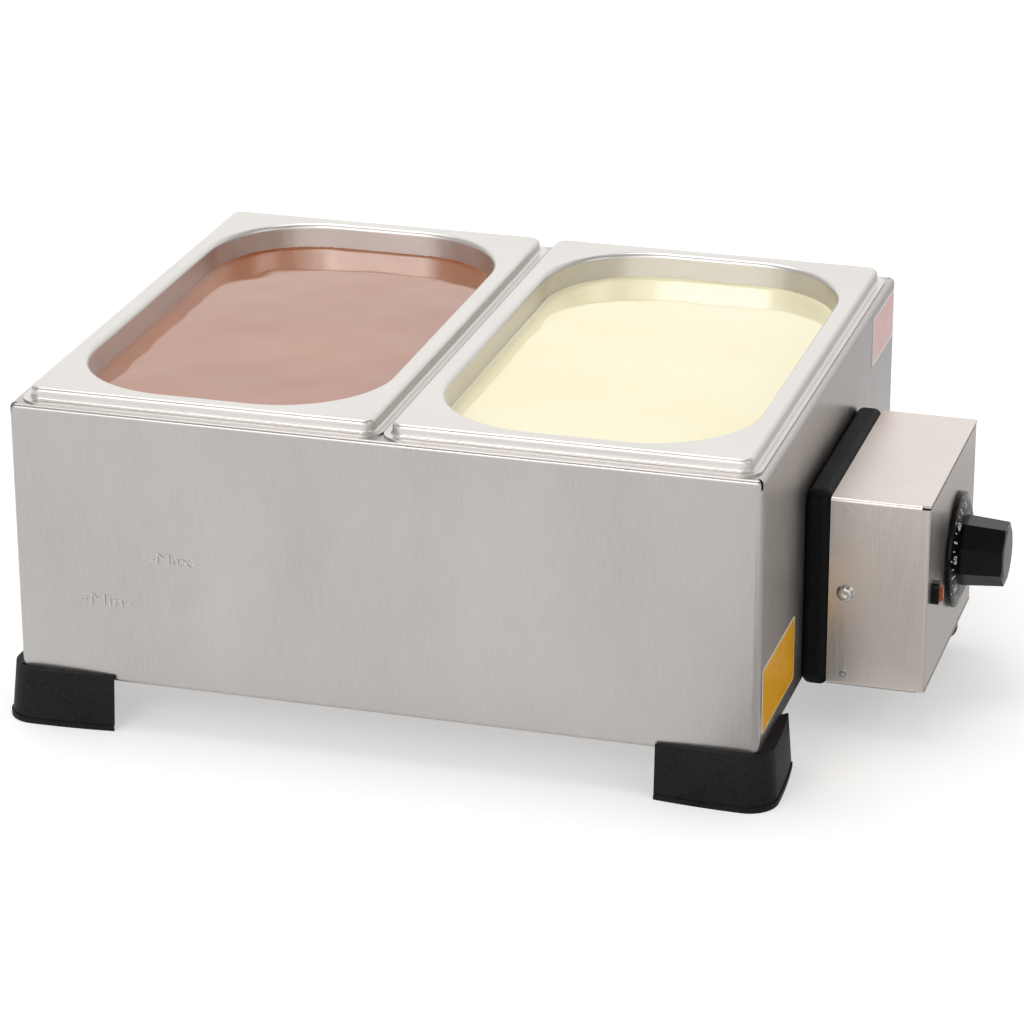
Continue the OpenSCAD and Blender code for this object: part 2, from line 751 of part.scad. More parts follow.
// Front, end and back walls of the box in plan, bent round its two upright edges
module box_plan() {
    difference() {
        box_outline(box_d, box_l, box_bend_r);
        translate([-cut_over, 0])
            box_outline(box_d - 2 * box_t, box_l - box_t + cut_over, box_bend_r - box_t);
    }
}

module box_outline(width, length, r) {
    polygon(concat([[0, -width / 2]], arc([length - r, -width / 2 + r], r, -90, 0),
        arc([length - r, width / 2 - r], r, 0, 90), [[0, width / 2]]));
}

module control_box_shell() {
    relief = 2;
    wall_h = box_h - 2 * box_bend_r;
    color("silver") difference() {
        union() {
            translate([box_x0, box_y, box_z - wall_h / 2]) linear_extrude(wall_h) box_plan();
            // top and bottom sheets, each folded from the front wall
            for (down = [0, 1]) translate([box_x0, box_y, box_z]) mirror([0, 0, down]) {
                translate([0, -box_d / 2 + box_bend_r, box_h / 2 - box_t])
                    cube([box_l, box_d - box_bend_r, box_t]);
                rotate([90, 0, 90]) linear_extrude(box_l - box_bend_r - relief) front_fold();
            }
        }
        side_holes();
        along_x([box_in - cut_over, dial_y, dial_z]) cylinder(d = spindle_d + 4, h = box_t + 2 * cut_over);
        at_thermostat_screws() along_x([box_in - cut_over, 0, 0])
            cylinder(d = screw_d + hole_play, h = box_t + 2 * cut_over);
        on_right([box_in - cut_over, lamp_y, lamp_z]) linear_extrude(box_t + 2 * cut_over)
            square([snout_size.x + hole_play, snout_size.y + hole_play], center = true);
        translate([gland_x, gland_y, box_z0 - cut_over])
            cylinder(d = gland_d + hole_play, h = box_t + 2 * cut_over);
    }
}

// The bend that joins the front wall to the top sheet, with a tail along each, drawn in the side view
module front_fold() {
    c = [-box_d / 2 + box_bend_r, box_h / 2 - box_bend_r];
    inner_r = box_bend_r - box_t;
    polygon(concat([c - [box_bend_r, fold_tail]], arc(c, box_bend_r, 180, 90),
        [c + [fold_tail, box_bend_r], c + [fold_tail, inner_r]],
        arc(c, inner_r, 90, 180), [c - [inner_r, fold_tail]]));
}

// Thermostat and knob

module at_thermostat_screws() {
    for (s = [-1, 1]) translate([0, dial_y, dial_z + s * thermostat_pitch / 2]) children();
}

module thermostat_body() {
    color("lightgray") difference() {
        union() {
            translate([thermostat_x0, dial_y - thermostat_size.y / 2, dial_z - thermostat_size.z / 2])
                cube(thermostat_size);
            for (s = [-1, 1])
                translate([blade_x, dial_y + s * blade_out - blade_size.y / 2, blade_z]) cube(blade_size);
        }
        along_x([box_in - spindle_in, dial_y, dial_z])
            cylinder(d = spindle_d + bore_play, h = spindle_in + cut_over);
        at_thermostat_screws() along_x([box_in - spindle_in, 0, 0])
            cylinder(d = screw_d + bore_play, h = spindle_in + cut_over);
    }
}

module thermostat_screws() {
    color("gainsboro") at_thermostat_screws() difference() {
        union() {
            along_x([box_x1, 0, 0]) cylinder(d = screw_head_d, h = screw_head_h);
            along_x([box_in - spindle_in + 1, 0, 0]) cylinder(d = screw_d, h = spindle_in - 1 + box_t);
        }
        translate([box_x1 + screw_head_h - 0.8, -screw_head_d, -0.5]) cube([2, 2 * screw_head_d, 1]);
    }
}

module thermostat_spindle() {
    color("gray") along_x([box_in - spindle_in + 0.5, dial_y, dial_z])
        cylinder(d = spindle_d, h = spindle_in - 0.5 + box_t + dial_gap + dial_t + spindle_grip);
}

module dial_skirt() {
    wall = 1.2;
    color([0.06, 0.06, 0.07]) along_x([dial_x, dial_y, dial_z]) rotate_extrude() polygon([
        [dial_d / 2, 0], [dial_d / 2, dial_edge_t], [dial_face_d / 2, dial_t],
        [spindle_d / 2 + bore_play / 2, dial_t], [spindle_d / 2 + bore_play / 2, 0],
        [spindle_d / 2 + 2, 0], [spindle_d / 2 + 2, dial_t - wall],
        [dial_face_d / 2, dial_t - wall], [dial_d / 2 - 2 * wall, 0]]);
}

module knob_grip() {
    slice = 0.01;
    color([0.05, 0.05, 0.06]) along_x([grip_x, dial_y, dial_z]) difference() {
        hull() {
            rotate([0, 0, 22.5]) cylinder(d = grip_base_w / cos(22.5), h = slice, $fn = 8);
            translate([0, 0, grip_l - slice]) rotate([0, 0, 22.5])
                cylinder(d = grip_end_w / cos(22.5), h = slice, $fn = 8);
        }
        translate([0, 0, -cut_over])
            cylinder(d = spindle_d + bore_play, h = spindle_grip + bore_play + cut_over);
        translate([0, 0, grip_l - cap_in]) cylinder(d = cap_d + bore_play, h = cap_in + cut_over);
    }
}

module knob_cap() {
    edge_r = 0.6;
    top = cap_in + cap_proud;
    color([0.3, 0.3, 0.31]) along_x([grip_x + grip_l - cap_in, dial_y, dial_z]) rotate_extrude()
        polygon(concat([[0, 0], [cap_d / 2, 0]], arc([cap_d / 2 - edge_r, top - edge_r], edge_r, 0, 90),
            [[0, top]]));
}

// Pilot lamp

module lamp_bezel() {
    color([0.06, 0.06, 0.06]) difference() {
        union() {
            on_right([box_x1, lamp_y, lamp_z]) linear_extrude(lamp_proud)
                round_rect(lamp_size, lamp_corner_r);
            on_right([snout_x, lamp_y, lamp_z]) linear_extrude(box_x1 - snout_x)
                square(snout_size, center = true);
        }
        on_right([lens_x, lamp_y, lamp_z]) linear_extrude(lamp_proud)
            round_rect([lens_size.x + bore_play, lens_size.y + bore_play], lamp_corner_r - lamp_wall);
        on_right([snout_x - cut_over, lamp_y, lamp_z]) linear_extrude(2 * (lens_x - snout_x))
            square([snout_size.x - 2 * lamp_wall, snout_size.y - 2 * lamp_wall], center = true);
    }
}

module lamp_lens() {
    slice = 0.01;
    rise = box_x1 + lamp_proud - lens_x;
    round = lamp_corner_r - lamp_wall;
    color("darkorange") on_right([lens_x, lamp_y, lamp_z]) {
        linear_extrude(rise) round_rect(lens_size, round);
        hull() {
            translate([0, 0, rise - slice]) linear_extrude(slice) round_rect(lens_size, round);
            translate([0, 0, rise + lens_proud - slice]) linear_extrude(slice)
                round_rect([lens_size.x - lens_proud, lens_size.y - lens_proud], round);
        }
    }
}

module lamp_holder() {
    length = 12;
    blade = [6, 0.8, 3];
    color("ivory") {
        on_right([snout_x - length, lamp_y, lamp_z]) linear_extrude(length)
            square(snout_size, center = true);
        for (s = [-1, 1])
            translate([snout_x - length - blade.x, lamp_y + s * 1.6 - blade.y / 2, lamp_z - blade.z / 2])
                cube(blade);
    }
}

// Wiring

module terminal_block() {
    color("ivory") difference() {
        translate(block_at) cube(block_size);
        for (i = [0:1], up = [0, 1])
            translate(block_at + [block_size.x / 2, block_size.y * (i + 0.5) / 2,
                up ? block_size.z - block_hole_l : -cut_over])
                cylinder(d = 2 * wire_d, h = block_hole_l + cut_over);
        along_x(block_at + [-cut_over, block_size.y / 2, block_size.z / 2])
            cylinder(d = block_screw_d + hole_play, h = block_size.x + 2 * cut_over);
    }
}

module terminal_block_screw() {
    color("gainsboro") along_x(block_at + [end_gap, block_size.y / 2, block_size.z / 2]) {
        cylinder(d = block_screw_d, h = block_size.x - end_gap);
        translate([0, 0, block_size.x - end_gap]) cylinder(d = 1.8 * block_screw_d, h = 0.65 * block_screw_d);
    }
}

module internal_wires() {
    block_mid = block_at.x + block_size.x / 2;
    pole = [block_at.y + block_size.y / 4, block_at.y + 3 * block_size.y / 4];
    block_low = block_at.z + block_hole_l / 3;
    block_high = block_at.z + block_size.z - block_hole_l / 3;
    rise = 3 * wire_d;
    side = thermostat_size.y / 2 + wire_gap;
    blade = [blade_x + blade_size.x / 2, dial_y, blade_z + blade_size.z / 2];
    out = [0, blade_out + blade_size.y / 2 + end_gap, 0];
    step = [0, wire_d, 0];
    pin_out = heater_loop_r + pin_d / 2 + end_gap;
    front_pin = [pin_x1 - pin_l / 2, box_y - pin_out, heater_z];
    rear_pin = [pin_x1 - pin_l / 2, box_y + pin_out, heater_z];
    color("saddlebrown") {
        // block to the thermostat
        tube([[block_mid, pole[1], block_high], [block_mid, pole[1], block_high + rise],
            [thermostat_x0, dial_y - side, block_high + rise], blade - out - 2 * step,
            blade - out - step, blade - out], wire_d);
        // thermostat to the rear heater pin, round the back of the body
        tube([blade + out, blade + out + step, blade + out + 2 * step,
            [thermostat_x0 + wire_d, dial_y + side, blade.z - wire_d / 2],
            [thermostat_x0, dial_y + side, dial_z + thermostat_size.z / 4],
            [rear_pin.x, dial_y + side, heater_z + rise],
            rear_pin + 2 * step, rear_pin + step, rear_pin], wire_d);
        // block to the front heater pin
        tube([[block_mid, pole[0], block_low], [block_mid, pole[0], block_low - rise],
            [front_pin.x, (pole[0] + front_pin.y) / 2 - wire_d, heater_z + rise],
            front_pin - 2 * step, front_pin - step, front_pin], wire_d);
    }
}

// Cable gland under the box

// A hexagon with two flats towards the end of the box
module gland_hexagon(flats) {
    rotate(30) hexagon(flats);
}

module gland_body() {
    color([0.1, 0.1, 0.1]) translate([gland_x, gland_y, box_z0]) difference() {
        union() {
            translate([0, 0, -gland_hex_t]) linear_extrude(gland_hex_t) gland_hexagon(gland_flats);
            cylinder(d = gland_d, h = box_t + gland_in);
        }
        translate([0, 0, -gland_hex_t - cut_over])
            cylinder(d = gland_bore, h = gland_hex_t + box_t + gland_in + 2 * cut_over);
    }
}

module gland_dome() {
    r = gland_flats / 2;
    color([0.12, 0.12, 0.12]) translate([gland_x, gland_y, box_z0 - gland_hex_t]) rotate([180, 0, 0])
        rotate_extrude() polygon(concat([[gland_bore / 2, 0], [r, 0]],
            arc([r - gland_dome_r, gland_dome_t - gland_dome_r], gland_dome_r, 0, 90),
            [[gland_bore / 2, gland_dome_t]]));
}

module gland_locknut() {
    color([0.12, 0.12, 0.12]) translate([gland_x, gland_y, box_z0 + box_t]) linear_extrude(4.5) difference() {
        gland_hexagon(gland_flats - 2);
        circle(d = gland_d + bore_play);
    }
}

tank_shell();
front_left_foot();
front_right_foot();
rear_left_foot();
rear_right_foot();
left_pan();
right_pan();
milk_chocolate();
white_chocolate();
heating_element();
heater_bushes();
heater_gaskets();
heater_nuts();
heater_terminals();
heater_stand();
sensing_bulb();
bulb_stand();
bulb_gland();
bulb_gland_nut();
capillary_tube();
spacer_pad();
bracket_studs();
mounting_bracket();
bracket_nuts();
control_box_shell();
box_rivets();
box_screws();
box_screw_nuts();
thermostat_body();
thermostat_screws();
thermostat_spindle();
dial_skirt();
knob_grip();
knob_cap();
lamp_bezel();
lamp_lens();
lamp_holder();
terminal_block();
terminal_block_screw();
internal_wires();
gland_body();
gland_dome();
gland_locknut();
yellow_label();
red_label();
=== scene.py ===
import json
import math

import bpy
from mathutils import Matrix, Vector

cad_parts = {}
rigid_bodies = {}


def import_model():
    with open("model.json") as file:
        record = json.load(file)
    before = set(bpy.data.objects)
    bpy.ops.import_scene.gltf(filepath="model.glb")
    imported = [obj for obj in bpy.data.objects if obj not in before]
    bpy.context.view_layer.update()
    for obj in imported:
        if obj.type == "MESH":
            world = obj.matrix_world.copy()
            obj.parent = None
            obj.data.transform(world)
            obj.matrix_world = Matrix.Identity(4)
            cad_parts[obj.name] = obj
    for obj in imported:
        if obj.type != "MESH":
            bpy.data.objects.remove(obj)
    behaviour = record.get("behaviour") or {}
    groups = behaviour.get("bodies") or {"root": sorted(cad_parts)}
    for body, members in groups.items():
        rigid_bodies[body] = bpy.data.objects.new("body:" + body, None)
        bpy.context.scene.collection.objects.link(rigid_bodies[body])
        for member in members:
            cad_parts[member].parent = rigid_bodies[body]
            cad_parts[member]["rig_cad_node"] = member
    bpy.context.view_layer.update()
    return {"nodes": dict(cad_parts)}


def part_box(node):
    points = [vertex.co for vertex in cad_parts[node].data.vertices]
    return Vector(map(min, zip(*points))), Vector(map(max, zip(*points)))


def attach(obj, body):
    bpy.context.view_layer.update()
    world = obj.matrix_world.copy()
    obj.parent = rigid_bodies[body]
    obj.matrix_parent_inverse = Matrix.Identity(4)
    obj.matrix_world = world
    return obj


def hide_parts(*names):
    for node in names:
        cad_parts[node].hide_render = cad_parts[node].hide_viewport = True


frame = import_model()
bpy.ops.object.select_all(action="DESELECT")

# Bath
# One sheet of brushed stainless steel, folded up at the walls and in at the rim, corners welded.
# The grain runs up the walls, and wiping has left faint clouds in the shine.


def tone(red, green, blue):
    """A colour read as 0 to 255, turned to the linear values that a shader takes."""
    linear = []
    for part in (red, green, blue):
        share = part / 255
        linear.append(share / 12.92 if share <= 0.04045 else ((share + 0.055) / 1.055) ** 2.4)
    return (*linear, 1.0)


def start_material(name):
    """A new material, with its node tree and its shader."""
    material = bpy.data.materials.new(name)
    material.use_nodes = True
    tree = material.node_tree
    return material, tree, tree.nodes["Principled BSDF"]


def grain(tree, per_metre, detail=2.0, fineness=0.5):
    """Noise on the piece's own coordinates, with so many features to the metre along each axis."""
    place = tree.nodes.new("ShaderNodeTexCoord")
    stretch = tree.nodes.new("ShaderNodeMapping")
    stretch.inputs["Scale"].default_value = per_metre
    noise = tree.nodes.new("ShaderNodeTexNoise")
    noise.inputs["Scale"].default_value = 1.0
    noise.inputs["Detail"].default_value = detail
    noise.inputs["Roughness"].default_value = fineness
    tree.links.new(place.outputs["Object"], stretch.inputs["Vector"])
    tree.links.new(stretch.outputs["Vector"], noise.inputs["Vector"])
    return noise.outputs["Fac"]


def ranged(tree, value, low, high, start=0.3, end=0.7):
    """A value's span from start to end spread over low to high; the default is a noise's middle."""
    spread = tree.nodes.new("ShaderNodeMapRange")
    spread.inputs["From Min"].default_value = start
    spread.inputs["From Max"].default_value = end
    spread.inputs["To Min"].default_value = low
    spread.inputs["To Max"].default_value = high
    tree.links.new(value, spread.inputs["Value"])
    return spread.outputs["Result"]


def worked(tree, kind, first, second):
    """Two values, or a value and a number, put together by one step of arithmetic."""
    maths = tree.nodes.new("ShaderNodeMath")
    maths.operation = kind
    for socket, part in zip(maths.inputs, (first, second)):
        if isinstance(part, (int, float)):
            socket.default_value = part
        else:
            tree.links.new(part, socket)
    return maths.outputs["Value"]


def blended(tree, share, first, second):
    """A colour that goes from the first to the second; either may come from another node."""
    mix = tree.nodes.new("ShaderNodeMix")
    mix.data_type = "RGBA"
    tree.links.new(share, mix.inputs[0])
    for socket, part in zip((mix.inputs[6], mix.inputs[7]), (first, second)):
        if isinstance(part, tuple):
            socket.default_value = part
        else:
            tree.links.new(part, socket)
    return mix.outputs[2]


def raised(tree, shader, height, depth, strength):
    """Fine relief on the surface, its depth in metres."""
    bump = tree.nodes.new("ShaderNodeBump")
    bump.inputs["Distance"].default_value = depth
    bump.inputs["Strength"].default_value = strength
    tree.links.new(height, bump.inputs["Height"])
    tree.links.new(bump.outputs["Normal"], shader.inputs["Normal"])


def brushed_steel(name, dark, pale, smooth, rough, hairs, clouds, stretch=0.0):
    """Stainless sheet with hairlines along one way and soft clouds where it was wiped."""
    material, tree, shader = start_material(name)
    hairlines = grain(tree, hairs, 3.0, 0.65)
    cloudy = grain(tree, clouds, 3.0, 0.55)
    shade = worked(tree, "MULTIPLY", worked(tree, "ADD", hairlines, cloudy), 0.5)
    sheet = blended(tree, ranged(tree, shade, 0.0, 1.0, 0.36, 0.64), dark, pale)
    tree.links.new(sheet, shader.inputs["Base Color"])
    dull = worked(tree, "ADD", ranged(tree, hairlines, smooth, rough), ranged(tree, cloudy, -0.03, 0.03))
    tree.links.new(dull, shader.inputs["Roughness"])
    raised(tree, shader, hairlines, 0.00003, 0.2)
    shader.inputs["Metallic"].default_value = 1.0
    shader.inputs["Anisotropic"].default_value = stretch
    return material


def dress(material, *names):
    """Gives CAD nodes their finish."""
    for name in names:
        mesh = frame["nodes"][name].data
        mesh.materials.clear()
        mesh.materials.append(material)


bath_steel = brushed_steel("bath_steel", tone(174, 170, 167), tone(186, 182, 179), 0.27, 0.35,
                           (2200, 2200, 75), (22, 22, 8), 0.5)
dress(bath_steel, "tank_shell")

# Water level words
# The two water levels are pressed into the front wall from behind, so they stand a little proud.
# They are the wall's own steel, smoother from the pressing and given a lighter tone than the wall as a
# painted highlight; their rounded edges catch the light as well.


def taken_on(piece, kind, name, **settings):
    """Adds a modifier with its settings and applies it, so that its work is in the mesh."""
    modifier = piece.modifiers.new(name, kind)
    for setting, value in settings.items():
        setattr(modifier, setting, value)
    bpy.ops.object.modifier_apply(modifier=modifier.name)


def pressed_words(name, words, middle, width, tall, proud):
    """Soft raised lettering on the front wall, centred at a point of it, so wide, so tall and so proud."""
    bpy.ops.object.select_all(action="DESELECT")
    bpy.ops.object.text_add()
    text = bpy.context.object
    text.name = name
    text.data.body = words
    text.data.resolution_u = 4
    text.data.offset = -0.004
    text.data.extrude = 0.07
    bpy.ops.object.convert(target="MESH")
    piece = bpy.context.object
    taken_on(piece, "REMESH", "pressed_skin", mode="VOXEL", voxel_size=0.014)
    taken_on(piece, "SMOOTH", "soft_edges", factor=0.5, iterations=14)
    size = piece.dimensions
    piece.scale = (width / size.x, tall / size.y, 2 * proud / size.z)
    piece.rotation_euler = (math.radians(90), 0, 0)
    bpy.ops.object.transform_apply(location=False, rotation=True, scale=True)
    low = Vector(map(min, *[v.co for v in piece.data.vertices]))
    high = Vector(map(max, *[v.co for v in piece.data.vertices]))
    piece.location = Vector(middle) - (low + high) / 2
    bpy.ops.object.transform_apply(location=True, rotation=False, scale=False)
    bpy.ops.object.shade_smooth()
    piece.data.materials.clear()
    piece.data.materials.append(pressed_steel_painted_highlight)
    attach(piece, "bath")
    return piece


# The lettering's steel is lighter than the bath's: painted highlight. Its lower roughness stands for the
# polish the pressing leaves.
pressed_steel_painted_highlight = brushed_steel("pressed_steel_painted_highlight", tone(182, 179, 176), tone(196, 193, 190), 0.17, 0.25,
                              (900, 900, 900), (60, 60, 60))
wall_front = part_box("tank_shell")[0].y
level_proud = 0.0006
pressed_words("max_level_words", "-Max-", (-0.1275, wall_front, 0.083), 0.022, 0.0053, level_proud)
pressed_words("min_level_words", "-Min-", (-0.1589, wall_front, 0.0607), 0.0227, 0.0053, level_proud)

# Boots
# Four black rubber corner boots are pressed on to the bath's bottom corners.
# Moulded rubber: matte, with a fine even grain and a little dust in it.


def moulded_rubber(name, dark, pale, smooth, rough, grains):
    """Rubber from a grained mould, dull all over, with a little dust in the hollows."""
    material, tree, shader = start_material(name)
    pores = grain(tree, (grains, grains, grains), 3.0, 0.6)
    dusty = grain(tree, (35, 35, 35), 4.0, 0.6)
    shade = worked(tree, "MULTIPLY", worked(tree, "ADD", pores, dusty), 0.5)
    skin = blended(tree, ranged(tree, shade, 0.0, 1.0, 0.38, 0.62), dark, pale)
    tree.links.new(skin, shader.inputs["Base Color"])
    tree.links.new(ranged(tree, dusty, smooth, rough), shader.inputs["Roughness"])
    raised(tree, shader, pores, 0.0003, 0.6)
    shader.inputs["Specular IOR Level"].default_value = 0.13
    return material


def copied(node, name):
    """A copy of a CAD node with a mesh of its own, its loose triangles merged, to be finished by hand."""
    bpy.ops.object.select_all(action="DESELECT")
    source = frame["nodes"][node]
    source.select_set(True)
    bpy.context.view_layer.objects.active = source
    bpy.ops.object.duplicate()
    piece = bpy.context.object
    piece.name = name
    bpy.ops.object.parent_clear(type="CLEAR_KEEP_TRANSFORM")
    del piece["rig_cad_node"]
    bpy.ops.object.mode_set(mode="EDIT")
    bpy.ops.mesh.select_all(action="SELECT")
    bpy.ops.mesh.remove_doubles(threshold=0.000001)
    bpy.ops.mesh.dissolve_limited(angle_limit=math.radians(0.5))
    bpy.ops.object.mode_set(mode="OBJECT")
    return piece


def placed(piece, node, body, material):
    """Puts a finished piece in its CAD node's place."""
    piece.data.materials.clear()
    piece.data.materials.append(material)
    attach(piece, body)
    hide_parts(node)


def cleaned(piece):
    """Takes away the faces without size that a rounding leaves where it meets another."""
    nothing = 0.000002
    bpy.ops.object.select_all(action="DESELECT")
    piece.select_set(True)
    bpy.context.view_layer.objects.active = piece
    bpy.ops.object.mode_set(mode="EDIT")
    bpy.ops.mesh.select_all(action="SELECT")
    bpy.ops.mesh.remove_doubles(threshold=nothing)
    bpy.ops.mesh.dissolve_degenerate(threshold=nothing)
    bpy.ops.object.mode_set(mode="OBJECT")


def edged(node, name, round_off, body, material):
    """A CAD node's shape with its sharp edges rounded, as they come out of a mould."""
    piece = copied(node, name)
    taken_on(piece, "BEVEL", "rounded_edges", width=round_off, segments=3, limit_method="ANGLE",
             angle_limit=math.radians(25), use_clamp_overlap=True)
    cleaned(piece)
    bpy.ops.object.shade_smooth_by_angle(angle=math.radians(35))
    taken_on(piece, "WEIGHTED_NORMAL", "flat_faces", keep_sharp=True)
    placed(piece, node, body, material)
    return piece


boot_rubber = moulded_rubber("boot_rubber", tone(17, 17, 19), tone(35, 35, 38), 0.5, 0.62, 750)
boot_round = 0.0009
for corner in ("front_left", "front_right", "rear_left", "rear_right"):
    edged(corner + "_foot", corner + "_boot", boot_round, "bath", boot_rubber)

# Stickers
# Two plastic film stickers on the right wall, one yellow and one red.
# Each is a plain field of colour with a pale border, stuck flat on the steel.


def film_sticker(name, node, dark, pale, border, border_width):
    """A printed film: a coloured field with a pale border, slightly uneven ink."""
    low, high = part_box(node)
    material, tree, shader = start_material(name)
    place = tree.nodes.new("ShaderNodeTexCoord")
    split = tree.nodes.new("ShaderNodeSeparateXYZ")
    tree.links.new(place.outputs["Object"], split.inputs["Vector"])
    inside = None
    for axis, start, end in (("Y", low.y, high.y), ("Z", low.z, high.z)):
        along = worked(tree, "SUBTRACT", split.outputs[axis], (start + end) / 2)
        off_middle = worked(tree, "ABSOLUTE", along, 0)
        within = worked(tree, "LESS_THAN", off_middle, (end - start) / 2 - border_width)
        inside = within if inside is None else worked(tree, "MULTIPLY", inside, within)
    ink = blended(tree, ranged(tree, grain(tree, (160, 160, 160), 3.0, 0.6), 0.0, 1.0), dark, pale)
    tree.links.new(blended(tree, inside, border, ink), shader.inputs["Base Color"])
    tree.links.new(ranged(tree, grain(tree, (60, 60, 60)), 0.3, 0.42), shader.inputs["Roughness"])
    shader.inputs["Specular IOR Level"].default_value = 0.2
    return material


yellow_film = film_sticker("yellow_film", "yellow_label", tone(240, 168, 8), tone(250, 184, 18),
                           tone(250, 240, 208), 0.0007)
dress(yellow_film, "yellow_label")
red_film = film_sticker("red_film", "red_label", tone(246, 196, 192), tone(250, 212, 209),
                        tone(252, 246, 244), 0.0012)
dress(red_film, "red_label")

# Pans
# Two deep-drawn stainless pans hang by their flanges on the bath's rim and lift straight out.
# The press leaves them smoother and brighter than the bath.


def drawn_steel(name, dark, pale, smooth, rough):
    """Pressed and polished stainless steel with a faint drawn grain."""
    material, tree, shader = start_material(name)
    fine = grain(tree, (700, 700, 700), 3.0, 0.6)
    cloudy = grain(tree, (14, 14, 14), 4.0, 0.55)
    tree.links.new(blended(tree, ranged(tree, cloudy, 0.0, 1.0), dark, pale), shader.inputs["Base Color"])
    dull = worked(tree, "ADD", ranged(tree, cloudy, smooth, rough), ranged(tree, fine, -0.02, 0.02))
    tree.links.new(dull, shader.inputs["Roughness"])
    raised(tree, shader, fine, 0.00003, 0.2)
    shader.inputs["Metallic"].default_value = 1.0
    return material


def drawn_pan(node, name, body, inner_side):
    """A pan whose flange, on the side towards the other pan, comes up to its neighbour as pressed lips do."""
    piece = copied(node, name)
    low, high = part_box(node)
    edge = high.x if inner_side > 0 else low.x
    edge_depth = 0.0004
    moved_width = 0.012
    bpy.ops.object.mode_set(mode="EDIT")
    bpy.ops.mesh.select_mode(type="VERT")
    bpy.ops.mesh.select_all(action="DESELECT")
    bpy.ops.object.mode_set(mode="OBJECT")
    for point in piece.data.vertices:
        point.select = abs(point.co.x - edge) < edge_depth
    bpy.ops.object.mode_set(mode="EDIT")
    bpy.ops.transform.translate(value=(inner_side * lip_reach, 0, 0), use_proportional_edit=True,
                                proportional_edit_falloff="SMOOTH", proportional_size=moved_width)
    bpy.ops.object.mode_set(mode="OBJECT")
    bpy.ops.object.shade_smooth_by_angle(angle=math.radians(35))
    taken_on(piece, "WEIGHTED_NORMAL", "flat_flange", keep_sharp=True)
    placed(piece, node, body, pan_steel)
    return piece


pan_steel = drawn_steel("pan_steel", tone(207, 203, 199), tone(216, 212, 208), 0.31, 0.39)
pan_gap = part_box("right_pan")[0].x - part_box("left_pan")[1].x
seam = 0.0002
lip_reach = (pan_gap - seam) / 2
drawn_pan("left_pan", "left_pan_pressing", "left_pan_load", 1)
drawn_pan("right_pan", "right_pan_pressing", "right_pan_load", -1)

# Melted chocolate
# One pan holds melted milk chocolate and the other white chocolate, poured in and left to settle.
# Both are opaque and glossy, with slow waves on the face and a thin rim where they climb the steel.


def melted(name, dark, pale, scatter, scatter_depth):
    """Melted chocolate: an opaque body that glows a little, under a mirror-smooth skin."""
    material, tree, shader = start_material(name)
    swirl = grain(tree, (9, 14, 9), 4.0, 0.5)
    tree.links.new(blended(tree, ranged(tree, swirl, 0.0, 1.0), dark, pale), shader.inputs["Base Color"])
    tree.links.new(ranged(tree, swirl, 0.04, 0.09), shader.inputs["Roughness"])
    ripple = grain(tree, (34, 26, 20), 2.0, 0.45)
    raised(tree, shader, ripple, 0.0003, 0.2)
    shader.inputs["Coat Weight"].default_value = 0.6
    shader.inputs["Coat Roughness"].default_value = 0.03
    shader.inputs["Subsurface Weight"].default_value = scatter_depth
    shader.inputs["Subsurface Radius"].default_value = scatter
    shader.inputs["Subsurface Scale"].default_value = 0.004
    return material


def pick_open_edges():
    """Selects the open edges of the sheet that is being built."""
    bpy.ops.mesh.select_mode(type="EDGE")
    bpy.ops.mesh.select_all(action="DESELECT")
    bpy.ops.mesh.select_non_manifold(extend=False, use_wire=False, use_multi_face=False,
                                     use_non_contiguous=False, use_verts=False)


def cut_across(size, spacing):
    """Cuts a flat sheet of this size into a grid, so that it can take waves."""
    for axis, across in enumerate(size):
        cuts = int(across / spacing)
        facing = Vector((0, 0, 0))
        facing[axis] = 1
        for cut in range(1, cuts):
            bpy.ops.mesh.select_all(action="SELECT")
            bpy.ops.mesh.bisect(plane_co=across * (cut / cuts - 0.5) * facing, plane_no=facing)


